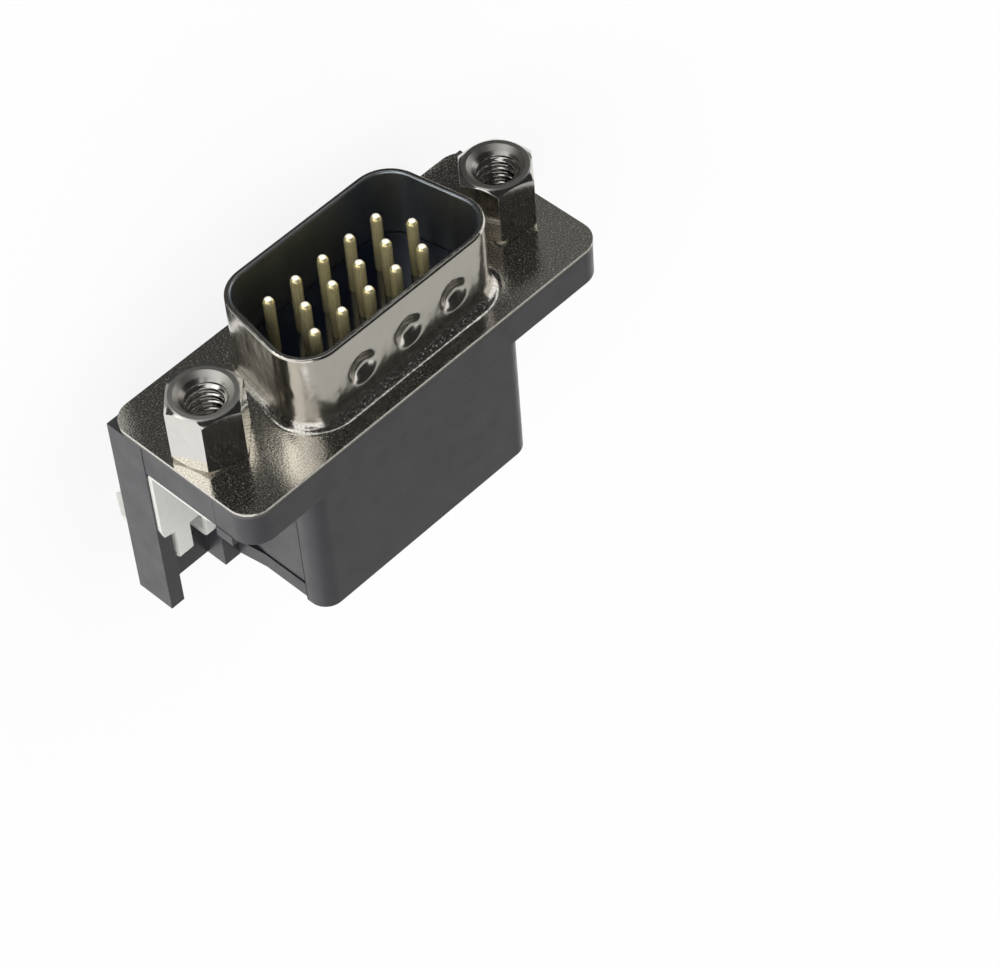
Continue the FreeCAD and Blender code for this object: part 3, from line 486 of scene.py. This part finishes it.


# paints the gap's shade as a dark, duller band along the seam, weaker towards the hood's outer edge
def paint_panel_gap_shade(material):
    tree = material.node_tree
    shader = tree.nodes["Principled BSDF"]
    from_line = combine(tree, "SUBTRACT", place_along(tree, "Z"), PANEL_LINE_HEIGHT)
    distance = combine(tree, "ABSOLUTE", from_line)
    near = ramp(tree, distance, (1, 0), (PANEL_LINE_HALF, PANEL_LINE_HALF + PANEL_LINE_FADE))
    aside = combine(tree, "ABSOLUTE", place_along(tree, "X"))
    on_side = combine(tree, "GREATER_THAN", aside, PANEL_LINE_INNER)
    outer_span = (PANEL_LINE_OUTER, PANEL_LINE_OUTER + PANEL_LINE_OUTER_FADE)
    fading = ramp(tree, aside, (1, PANEL_LINE_OUTER_SHARE), outer_span)
    # the share of the painted gap shade
    line = combine(tree, "MULTIPLY", near, combine(tree, "MULTIPLY", on_side, fading))
    plain_colour = shader.inputs["Base Color"].links[0].from_socket
    tree.links.new(blend_colour(tree, line, plain_colour, PANEL_GAP_SHADE_COLOUR), shader.inputs["Base Color"])
    plain_dullness = shader.inputs["Roughness"].links[0].from_socket
    line_dullness = combine(tree, "MULTIPLY", line, PANEL_LINE_DULLNESS)
    tree.links.new(combine(tree, "ADD", plain_dullness, line_dullness), shader.inputs["Roughness"])


paint_panel_gap_shade(housing_plastic)
print("panel line at mm", round(PANEL_LINE_HEIGHT / MM, 2))

# %% [markdown]
# A contact is gold flashed where it mates and tinned where it is soldered. One material serves both: the
# height above the board decides which plating shows. The rounded end of a pin catches every light of a
# studio, so it shows as a pale spot. A lamp for fifteen such spots would spoil the rest, so each spot is a
# painted highlight in the finish: pale and barely metallic, found by its depth and by the way it faces.
# finish: pale and barely metallic, found by their depth and by the way they face.

# %% Gold and tin on one contact, and painted highlights on the pin ends
GOLD = ((0.96, 0.81, 0.4), (1.0, 0.92, 0.55))
TIN = ((0.5, 0.47, 0.43), (0.74, 0.73, 0.7))
TIN_AND_GOLD_ROUGHNESS = (0.32, 0.13)
PLATING_CHANGE = 1.2 * MM
PLATING_SOFTNESS = 0.3 * MM
PIN_END_DEPTH = min(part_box(name)[0].y for name in nodes if name.startswith("contact"))
PIN_END_LIMIT = PIN_END_DEPTH + 0.19 * MM
PIN_END_SOFTNESS = 0.03 * MM
PIN_END_FACING = -0.8
PIN_END_FACING_SOFTNESS = 0.04
# painted highlight: the pale colour that stands for the light caught by each pin's rounded end
PIN_END_HIGHLIGHT_COLOUR = (1.0, 0.97, 0.86)
PIN_AND_END_METALLIC = (0.8, 0.05)
PIN_END_DULLNESS = 0.2


def pin_end_highlight_share(tree):
    """1 on the rounded end of a pin, where it looks out of the cup and the painted highlight goes."""
    geometry = tree.nodes.new("ShaderNodeNewGeometry")
    facing = tree.nodes.new("ShaderNodeSeparateXYZ")
    tree.links.new(geometry.outputs["Normal"], facing.inputs["Vector"])
    at_end = share_before(tree, place_along(tree, "Y"), PIN_END_LIMIT, PIN_END_SOFTNESS)
    looks_out = share_before(tree, facing.outputs["Y"], PIN_END_FACING, PIN_END_FACING_SOFTNESS)
    return combine(tree, "MULTIPLY", at_end, looks_out)


def contact_finish():
    material, tree, shader = new_finish("gold_contact", (0.86, 0.7, 0.42), 0.8, 0.2)
    gold_share = share_past(tree, place_along(tree, "Z"), PLATING_CHANGE, PLATING_SOFTNESS)
    wear = object_noise(tree, scale=2, detail=3)
    plating = blend_colour(tree, gold_share, blend_colour(tree, wear, *TIN), blend_colour(tree, wear, *GOLD))
    # end is the share of the painted highlight on each pin's rounded end
    end = pin_end_highlight_share(tree)
    tree.links.new(blend_colour(tree, end, plating, PIN_END_HIGHLIGHT_COLOUR), shader.inputs["Base Color"])
    tree.links.new(ramp(tree, end, PIN_AND_END_METALLIC), shader.inputs["Metallic"])
    smooth = ramp(tree, gold_share, TIN_AND_GOLD_ROUGHNESS)
    highlight_dullness = combine(tree, "MULTIPLY", end, PIN_END_DULLNESS)
    tree.links.new(combine(tree, "ADD", smooth, highlight_dullness), shader.inputs["Roughness"])
    return material


contact_plating = contact_finish()
print("pins end at depth", round(PIN_END_DEPTH / MM, 2), "and turn to tin at", round(PLATING_CHANGE / MM, 2))

# %% [markdown]
# The board locks are stamped from sheet metal and tinned, which leaves a pale, cloudy, almost white skin. A
# full metal would mirror the dark cards of the studio and look grey, so the skin is only about a third
# metallic, with a soft uneven grain.

# %% Tin of the board locks
LOCK_TIN = ((0.8, 0.8, 0.75), (0.95, 0.95, 0.91))
LOCK_ROUGHNESS = (0.34, 0.5)


def tinned_lock_finish():
    material, tree, shader = new_finish("tinned_lock", (0.9, 0.9, 0.87), 0.3, 0.42)
    cloud = object_noise(tree, scale=1.2, detail=4)
    tree.links.new(blend_colour(tree, cloud, *LOCK_TIN), shader.inputs["Base Color"])
    tree.links.new(ramp(tree, cloud, LOCK_ROUGHNESS, NOISE_SPAN), shader.inputs["Roughness"])
    raise_relief(tree, shader, object_noise(tree, scale=7, detail=3), strength=0.45, distance_mm=0.02)
    return material


lock_tin = tinned_lock_finish()
print(lock_tin.name, "uses", len(lock_tin.node_tree.nodes), "nodes")

# %% [markdown]
# ## Dressing the solids
# A real edge is never perfectly sharp. A narrow bevel on each solid catches the light along it, which tells
# the eye how big the piece is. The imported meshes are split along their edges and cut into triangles, so a
# weld and a planar dissolve come first, and the bevel then runs along clean edges. All of it is modifiers,
# which leave the solids as they are. The contacts stay without, because their section is round.

# %% Bevelled edges
EDGE_WIDTHS = {
    "front_shell": 0.05,
    "housing": 0.03,
    "front_insulator": 0.04,
    "tail_block": 0.025,
    "board_lock": 0.03,
}
WELD_REACH = 0.001
FLAT_WITHIN = math.radians(0.6)


def entry_for(name, table):
    """The entry of a node's kind, such as board_lock for board_lock_left."""
    return next((entry for kind, entry in table.items() if name.startswith(kind)), None)


def round_edges(piece, width_mm, segments=2, angle=34):
    """Weld, planar dissolve, bevel and even normals, all as modifiers."""
    weld = piece.modifiers.new("weld", "WELD")
    weld.merge_threshold = WELD_REACH * MM
    flats = piece.modifiers.new("flats", "DECIMATE")
    flats.decimate_type = "DISSOLVE"
    flats.angle_limit = FLAT_WITHIN
    bevel = piece.modifiers.new("edge_round", "BEVEL")
    bevel.width = width_mm * MM
    bevel.segments = segments
    bevel.limit_method = "ANGLE"
    bevel.angle_limit = math.radians(angle)
    bevel.harden_normals = False
    even = piece.modifiers.new("even_normals", "WEIGHTED_NORMAL")
    even.keep_sharp = False


for name, node in nodes.items():
    width = entry_for(name, EDGE_WIDTHS)
    if width:
        round_edges(node, width)
print("rounded:", [name for name in nodes if nodes[name].modifiers])

# %% [markdown]
# Each solid takes the finish of its kind. The names in the frame start with the kind, so one table dresses
# all of them, the fifteen contacts too.

# %% Finishes on the nodes
FINISHES = {
    "front_shell": shell_nickel,
    "housing": housing_plastic,
    "front_insulator": insulator_plastic,
    "tail_block": tail_block_plastic,
    "board_lock": lock_tin,
    "contact": contact_plating,
    "jackscrew": head_nickel,
}
for name, node in nodes.items():
    node.data.materials.clear()
    node.data.materials.append(entry_for(name, FINISHES))
print({name: node.data.materials[0].name for name, node in nodes.items()})

# %% [markdown]
# ## Screw threads
# A jackscrew takes a cable's screw in front and holds the lock behind, so it is tapped inside and threaded
# outside. The solids only have smooth cylinders there. A screw modifier turns one profile into a helix, but
# it can't run out into a countersink. Here the surface is computed instead: at each angle and depth the
# thread's radius is compared with that of the countersink or lead chamfer, and the wider or narrower of the
# two wins, as on a real lathe.

# %% Thread form
THREAD_PITCH = 0.635
CREST_SHARE = 0.26
ROOT_SHARE = 0.12


def thread_depth_share(phase):
    """0 on the crest and 1 in the root, for a phase between 0 and 1 along one pitch."""
    flank = (1 - CREST_SHARE - ROOT_SHARE) / 2
    from_crest = abs((phase - 0.5) % 1 - 0.5)
    travelled = (from_crest - CREST_SHARE / 2) / flank
    clipped = min(max(travelled, 0), 1)
    return clipped * clipped * (3 - 2 * clipped)


print("thread depth along one pitch:", [round(thread_depth_share(step / 8), 2) for step in range(8)])

# %% [markdown]
# The rows of the mesh follow the helix, so that its crests stay crisp with few faces. Rows that start
# before the thread or run past it are held at its ends, and faces that come out flat there are left out.

# %% Thread surface
TURN_STEPS = 72
ROWS_PER_PITCH = 14


def ring_corner(mesh, centre, depth, radius, turn_step):
    """A corner at one step of a full turn about the thread's axis, from sizes in millimetres."""
    angle = 2 * math.pi * turn_step / TURN_STEPS
    place = (centre[0] + radius * math.cos(angle), depth, centre[1] + radius * math.sin(angle))
    return mesh.verts.new(Vector(place) * MM)


def thread_surface(mesh, centre, start, end, radius_at, inward):
    """Helical rows between two depths in millimetres; radius_at takes a depth and a phase."""
    rows = int((end - start) / THREAD_PITCH * ROWS_PER_PITCH) + ROWS_PER_PITCH
    grid = []
    for turn_step in range(TURN_STEPS + 1):
        column = []
        for row in range(-ROWS_PER_PITCH, rows + 1):
            wished = start + THREAD_PITCH * (row / ROWS_PER_PITCH + turn_step / TURN_STEPS)
            depth = min(max(wished, start), end)
            phase = (depth - start) / THREAD_PITCH - turn_step / TURN_STEPS
            column.append(ring_corner(mesh, centre, depth, radius_at(depth, phase), turn_step))
        grid.append(column)
    for left, right in zip(grid, grid[1:]):
        for low in range(len(left) - 1):
            corners = [left[low], left[low + 1], right[low + 1], right[low]]
            depths = {round(corner.co.y / MM, 5) for corner in corners}
            if len(depths) > 1:
                face = mesh.faces.new(corners if inward else corners[::-1])
                face.smooth = True


def end_disc(mesh, centre, depth, radius, towards_mate):
    """A flat end across the thread's axis."""
    ring = [ring_corner(mesh, centre, depth, radius, step) for step in range(TURN_STEPS)]
    mesh.faces.new(ring if towards_mate else ring[::-1])


print("one pitch takes", TURN_STEPS * ROWS_PER_PITCH, "faces")

# %% [markdown]
# A thread that doesn't fit its own screw looks wrong at once, so its sizes aren't typed in again. The rings
# of corners on the solid tell where its face, bore, countersink and stud are.

# %% Jackscrew sizes, read from the solids
SAME_RING = 0.01


def screw_axis(node):
    """The middle of a jackscrew across the part and in height, in millimetres."""
    low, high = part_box(node)
    return (low[0] + high[0]) / 2 / MM, (low[2] + high[2]) / 2 / MM


def rings_about(piece, centre):
    """Each corner's depth and distance from the axis, in millimetres."""
    found = []
    for corner in piece.data.vertices:
        place = piece.matrix_world @ corner.co / MM
        found.append((place.y, math.hypot(place.x - centre[0], place.z - centre[1])))
    return found


screw_rings = rings_about(nodes["jackscrew_right"], screw_axis("jackscrew_right"))
FACE_DEPTH = min(depth for depth, radius in screw_rings)
STUD_DEPTH = max(depth for depth, radius in screw_rings)
SINK_RADIUS = min(radius for depth, radius in screw_rings if abs(depth - FACE_DEPTH) < SAME_RING)
STUD_RADIUS = max(radius for depth, radius in screw_rings if depth > 1)
STUD_TIP_RADIUS = max(radius for depth, radius in screw_rings if abs(depth - STUD_DEPTH) < SAME_RING)
BORE_RADIUS = max(radius for depth, radius in screw_rings if -1.5 < depth < -0.05 and radius < SINK_RADIUS)
BORE_DEPTH = max(depth for depth, radius in screw_rings if depth < -SAME_RING and radius < SINK_RADIUS)
print("face", round(FACE_DEPTH, 2), "stud end", round(STUD_DEPTH, 2), "sink", round(SINK_RADIUS, 2), "bore",
      round(BORE_RADIUS, 2), "to", round(BORE_DEPTH, 2), "stud", round(STUD_RADIUS, 2))

# %% [markdown]
# The head of each jackscrew keeps the solid's own hexagon, with its two chamfers. Its bore and stud are
# taken off a copy by their distance from the axis, and the threads go there. A boolean cut could do the
# same, but it is slower and may leave slivers.

# %% Threads and bare head
def tapped_radius(depth, phase):
    """Inside thread, opened by the countersink."""
    thread = BORE_RADIUS + thread_depth_share(phase) * (STUD_RADIUS - BORE_RADIUS)
    countersink = SINK_RADIUS - (depth - FACE_DEPTH)
    return max(thread, countersink)


def stud_radius(depth, phase):
    """Outside thread, narrowed by the lead chamfer."""
    thread = STUD_RADIUS - thread_depth_share(phase) * (STUD_RADIUS - BORE_RADIUS)
    lead = STUD_TIP_RADIUS + (STUD_DEPTH - depth)
    return min(thread, lead)


def finished_mesh(name, made):
    """A mesh from what was made, which is then put away."""
    mesh = bpy.data.meshes.new(name)
    made.to_mesh(mesh)
    made.free()
    return mesh


def threaded_mesh(name, centre):
    """Both threads of one jackscrew as one piece."""
    made = bmesh.new()
    thread_surface(made, centre, FACE_DEPTH, BORE_DEPTH, tapped_radius, True)
    end_disc(made, centre, BORE_DEPTH, STUD_RADIUS, True)
    thread_surface(made, centre, 0, STUD_DEPTH, stud_radius, False)
    end_disc(made, centre, STUD_DEPTH, STUD_TIP_RADIUS, False)
    bmesh.ops.remove_doubles(made, verts=made.verts, dist=WELD_REACH / 2 * MM)
    return finished_mesh(name, made)


def bare_head_mesh(name, node, centre):
    """The node's hexagon without its bore, countersink and stud."""
    made = bmesh.new()
    made.from_mesh(nodes[node].data)
    bmesh.ops.remove_doubles(made, verts=made.verts, dist=WELD_REACH * MM)
    reach = SINK_RADIUS + SAME_RING
    inner = {corner for corner in made.verts
             if math.hypot(corner.co.x / MM - centre[0], corner.co.z / MM - centre[1]) < reach}
    gone = [face for face in made.faces if inner.issuperset(face.verts)]
    bmesh.ops.delete(made, geom=gone, context="FACES")
    bmesh.ops.dissolve_limit(made, angle_limit=FLAT_WITHIN, verts=made.verts, edges=made.edges)
    return finished_mesh(name, made)


print("thread", round(STUD_RADIUS - BORE_RADIUS, 3), "mm deep")

# %% [markdown]
# Both jackscrews get the same two pieces, a head and its threads, and those two stand for the solid. The
# heads' edges are rounder than those of the other pieces, because these small parts are tumbled before
# plating.

# %% Threaded jackscrews
HEAD_EDGE_WIDTH = 0.09
HEAD_EDGE_SEGMENTS = 3
HEAD_EDGE_ANGLE = 20


def new_object(name, data):
    """An object in the scene for a mesh, a camera or a lamp."""
    made = bpy.data.objects.new(name, data)
    bpy.context.scene.collection.objects.link(made)
    return made


def add_piece(name, mesh, node, finish):
    """A piece that stands for a node and rides with the part."""
    piece = new_object(name, mesh)
    mesh.materials.append(finish)
    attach(piece, "root")
    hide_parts(node)
    return piece


for side in ("right", "left"):
    node = "jackscrew_" + side
    centre = screw_axis(node)
    threads = add_piece(node + "_threads", threaded_mesh(node + "_threads", centre), node, bore_nickel)
    head = add_piece(node + "_head", bare_head_mesh(node + "_head", node, centre), node, head_nickel)
    round_edges(head, HEAD_EDGE_WIDTH, HEAD_EDGE_SEGMENTS, HEAD_EDGE_ANGLE)
    print(node, "threads", len(threads.data.polygons), "faces, head", len(head.data.polygons))

# %% [markdown]
# ## Studio
# The connector is shown as a cut-out on white, from the mating side and well above it. The camera stands
# where a fit of known connector sizes puts it, with a long lens, so there is little perspective.

# %% Camera
CAMERA_PLACE = Vector((96.07, -160.28, 121.5)) * MM
CAMERA_RIGHT = Vector((-0.68798, 0.05393, 0.72372))
CAMERA_UP = Vector((-0.57714, -0.64526, -0.50055))
CAMERA_BACK = Vector((0.43999, -0.76206, 0.47505))
SENSOR_WIDTH = 36
FOCAL_LENGTH = 128.58
NEAREST_SEEN = 0.01
FARTHEST_SEEN = 10

camera_data = bpy.data.cameras.new("camera")
camera_data.sensor_width = SENSOR_WIDTH
camera_data.lens = FOCAL_LENGTH
camera_data.clip_start = NEAREST_SEEN
camera_data.clip_end = FARTHEST_SEEN
camera = new_object("camera", camera_data)
turn = Matrix((CAMERA_RIGHT, CAMERA_UP, CAMERA_BACK)).transposed()
camera.matrix_world = Matrix.Translation(CAMERA_PLACE) @ turn.to_4x4()
bpy.context.scene.camera = camera
print("camera at mm", in_mm(camera.location))

# %% [markdown]
# The floor is a plain white card just under the tips of the tails. It could be lit up to white, but that
# light would bleach the part too. So for the camera and for mirrors it glows, all but a small share of
# paper that keeps a soft shadow of the part. For every other ray it is paper alone.

# %% Floor
FLOOR_GAP = 0.02 * MM
FLOOR_SIZE = 3000
FLOOR_GLOW_SHARE = 0.86
PAPER = (0.95, 0.95, 0.95)


def background_ray(tree):
    """1 for rays that should see plain background: camera, glossy and transmission rays."""
    path = tree.nodes.new("ShaderNodeLightPath")
    seen = combine(tree, "MAXIMUM", path.outputs["Is Camera Ray"], path.outputs["Is Glossy Ray"])
    return combine(tree, "MAXIMUM", seen, path.outputs["Is Transmission Ray"])


def empty_finish(name):
    """A material without a shader, with its tree and the socket that takes one."""
    material = bpy.data.materials.new(name)
    material.use_nodes = True
    tree = material.node_tree
    tree.nodes.clear()
    output = tree.nodes.new("ShaderNodeOutputMaterial")
    return material, tree, output.inputs["Surface"]


def even_glow(tree, colour):
    """Light of one colour, with no shade in it."""
    glow = tree.nodes.new("ShaderNodeEmission")
    glow.inputs["Color"].default_value = (*colour, 1)
    glow.inputs["Strength"].default_value = 1
    return glow.outputs[0]


def floor_finish():
    material, tree, surface = empty_finish("floor_card")
    paper = tree.nodes.new("ShaderNodeBsdfDiffuse")
    paper.inputs["Color"].default_value = (*PAPER, 1)
    mixed = tree.nodes.new("ShaderNodeMixShader")
    tree.links.new(combine(tree, "MULTIPLY", background_ray(tree), FLOOR_GLOW_SHARE), mixed.inputs["Fac"])
    tree.links.new(paper.outputs[0], mixed.inputs[1])
    tree.links.new(even_glow(tree, (1, 1, 1)), mixed.inputs[2])
    tree.links.new(mixed.outputs[0], surface)
    return material


def flat_card(name, centre_mm, size_mm, facing, material):
    """A flat stage card with its front towards a direction."""
    half_width = size_mm[0] * MM / 2
    half_height = size_mm[1] * MM / 2
    corners = [(-half_width, -half_height, 0), (half_width, -half_height, 0),
               (half_width, half_height, 0), (-half_width, half_height, 0)]
    mesh = bpy.data.meshes.new(name)
    mesh.from_pydata(corners, [], [(0, 1, 2, 3)])
    mesh.materials.append(material)
    card = new_object(name, mesh)
    turned = Vector(facing).to_track_quat("Z", "Y").to_matrix().to_4x4()
    card.matrix_world = Matrix.Translation(Vector(centre_mm) * MM) @ turned
    return card


floor_height = (low_at_load.z - FLOOR_GAP) / MM
flat_card("floor", (0, 0, floor_height), (FLOOR_SIZE, FLOOR_SIZE), (0, 0, 1), floor_finish())
print("floor at mm", round(floor_height, 2))

# %% [markdown]
# The room round the part is an even white. An image of a real studio would light it more richly, but its
# lamps would show in the metal. The same share of rays as on the floor keeps it white to the camera and to
# mirrors, and a softer level lights the part.

# %% World
ROOM_LIGHT = 0.55
ROOM_SEEN = 1


def light_room():
    """White where the camera or a mirror looks, a softer level where the world lights the part."""
    world = bpy.data.worlds.new("studio")
    bpy.context.scene.world = world
    world.use_nodes = True
    tree = world.node_tree
    sky = tree.nodes["Background"]
    sky.inputs["Color"].default_value = (1, 1, 1, 1)
    tree.links.new(ramp(tree, background_ray(tree), (ROOM_LIGHT, ROOM_SEEN)), sky.inputs["Strength"])


light_room()
print("room seen at", ROOM_SEEN, "and lit at", ROOM_LIGHT)

# %% [markdown]
# Two soft suns light the part: the stronger one from the near left of the picture, the weaker one from its
# right. A sun has no fall-off, so the floor stays as white in its corners as in its middle. Together with
# the world they light a white card to just under white, and a colour then renders about as it is written.
# Mirrors don't see the suns, because a lamp's disc would show as a spot on every polished piece.

# %% Lamps
def soft_sun(name, towards_lamp, strength, spread_degrees):
    lamp_data = bpy.data.lights.new(name, "SUN")
    lamp_data.energy = strength
    lamp_data.angle = math.radians(spread_degrees)
    lamp = new_object(name, lamp_data)
    lamp.visible_glossy = False
    lamp.rotation_mode = "QUATERNION"
    lamp.rotation_quaternion = Vector(towards_lamp).to_track_quat("Z", "Y")


soft_sun("key_sun", (0.74, -0.5, 0.48), strength=1.85, spread_degrees=30)
soft_sun("fill_sun", (-0.5, -0.6, 0.7), strength=0.8, spread_degrees=60)
print("lamps:", [lamp.name for lamp in bpy.data.lights])

# %% [markdown]
# Polished metal shows whatever stands round it, so a photographer places dark and pale cards as well as
# lamps. Each card here glows at one even level, from nearly black to brighter than the room, and is seen in
# reflections alone: it stands in no picture, throws no shadow and lights nothing.

# %% A card for reflections
def grey_finish(level):
    material, tree, surface = empty_finish(f"card_grey_{round(level * 100):03d}")
    tree.links.new(even_glow(tree, (level, level, level * 0.97)), surface)
    return material


def reflection_card(name, centre_mm, size_mm, facing, level):
    card = flat_card(name, centre_mm, size_mm, facing, grey_finish(level))
    card.visible_camera = False
    card.visible_diffuse = False
    card.visible_shadow = False
    card.visible_transmission = False


print("grey card ready")

# %% [markdown]
# Seven cards lie just over the floor. The near one darkens the flange round the cup's near end, and the cup's
# corner there. The side one gives the cup's near end wall its middle grey, and the hollow one darkens that
# wall's foot. The bright one lights the flange in front of the near hexagon. The middle one and the left
# one darken the far hexagon and the far end of the flange, and the strip adds a thin pale line to the cup's
# wide wall.

# %% Cards on the floor
CARD_HEIGHT = -3.55
STRIP_HEIGHT = CARD_HEIGHT + 0.1
FLOOR_CARDS = (
    ("card_floor_near", (2, -18.5, CARD_HEIGHT), (20, 43), 0.06),
    ("card_floor_side", (14.75, -4.5, CARD_HEIGHT), (6.5, 9), 0.45),
    ("card_floor_hollow", (17.75, -12.25, CARD_HEIGHT), (12.5, 6.5), 0.06),
    ("card_floor_bright", (26.5, -28, CARD_HEIGHT), (27, 25), 1.6),
    ("card_floor_middle", (-15, -44, CARD_HEIGHT), (14, 80), 0.035),
    ("card_floor_strip", (-13.5, -28.5, STRIP_HEIGHT), (9, 5), 0.4),
    ("card_floor_left", (-53, -44, CARD_HEIGHT), (62, 80), 0.12),
)
for name, centre_mm, size_mm, level in FLOOR_CARDS:
    reflection_card(name, centre_mm, size_mm, (0, 0, 1), level)
print("floor cards:", len(FLOOR_CARDS))

# %% [markdown]
# Larger cards stand further off. The front one darkens the flange and the hexagons' far sides, the one
# above the cup's wide wall, and the one behind the hood's roof and the wall's upper part. The high one only
# takes the glare off the cup's near corner.

# %% Standing cards
STANDING_CARDS = (
    ("card_front", (-147, -260, 160), (606, 280), (0, 1, 0), 0.03),
    ("card_above", (-147, -30, 300), (606, 460), (0, 0, -1), 0.03),
    ("card_high_right", (215, -180, 150), (90, 110), (-0.68, 0.58, -0.45), 0.15),
    ("card_behind", (-75, 200, 170), (450, 260), (0, -1, 0), 0.5),
)
for card in STANDING_CARDS:
    reflection_card(*card)

# %% [markdown]
# A filmic view would bend the greys and lift the blacks. The plain one shows a colour as it is written.

# %% View settings
bpy.context.scene.view_settings.view_transform = "Standard"
print("view:", bpy.context.scene.view_settings.view_transform)
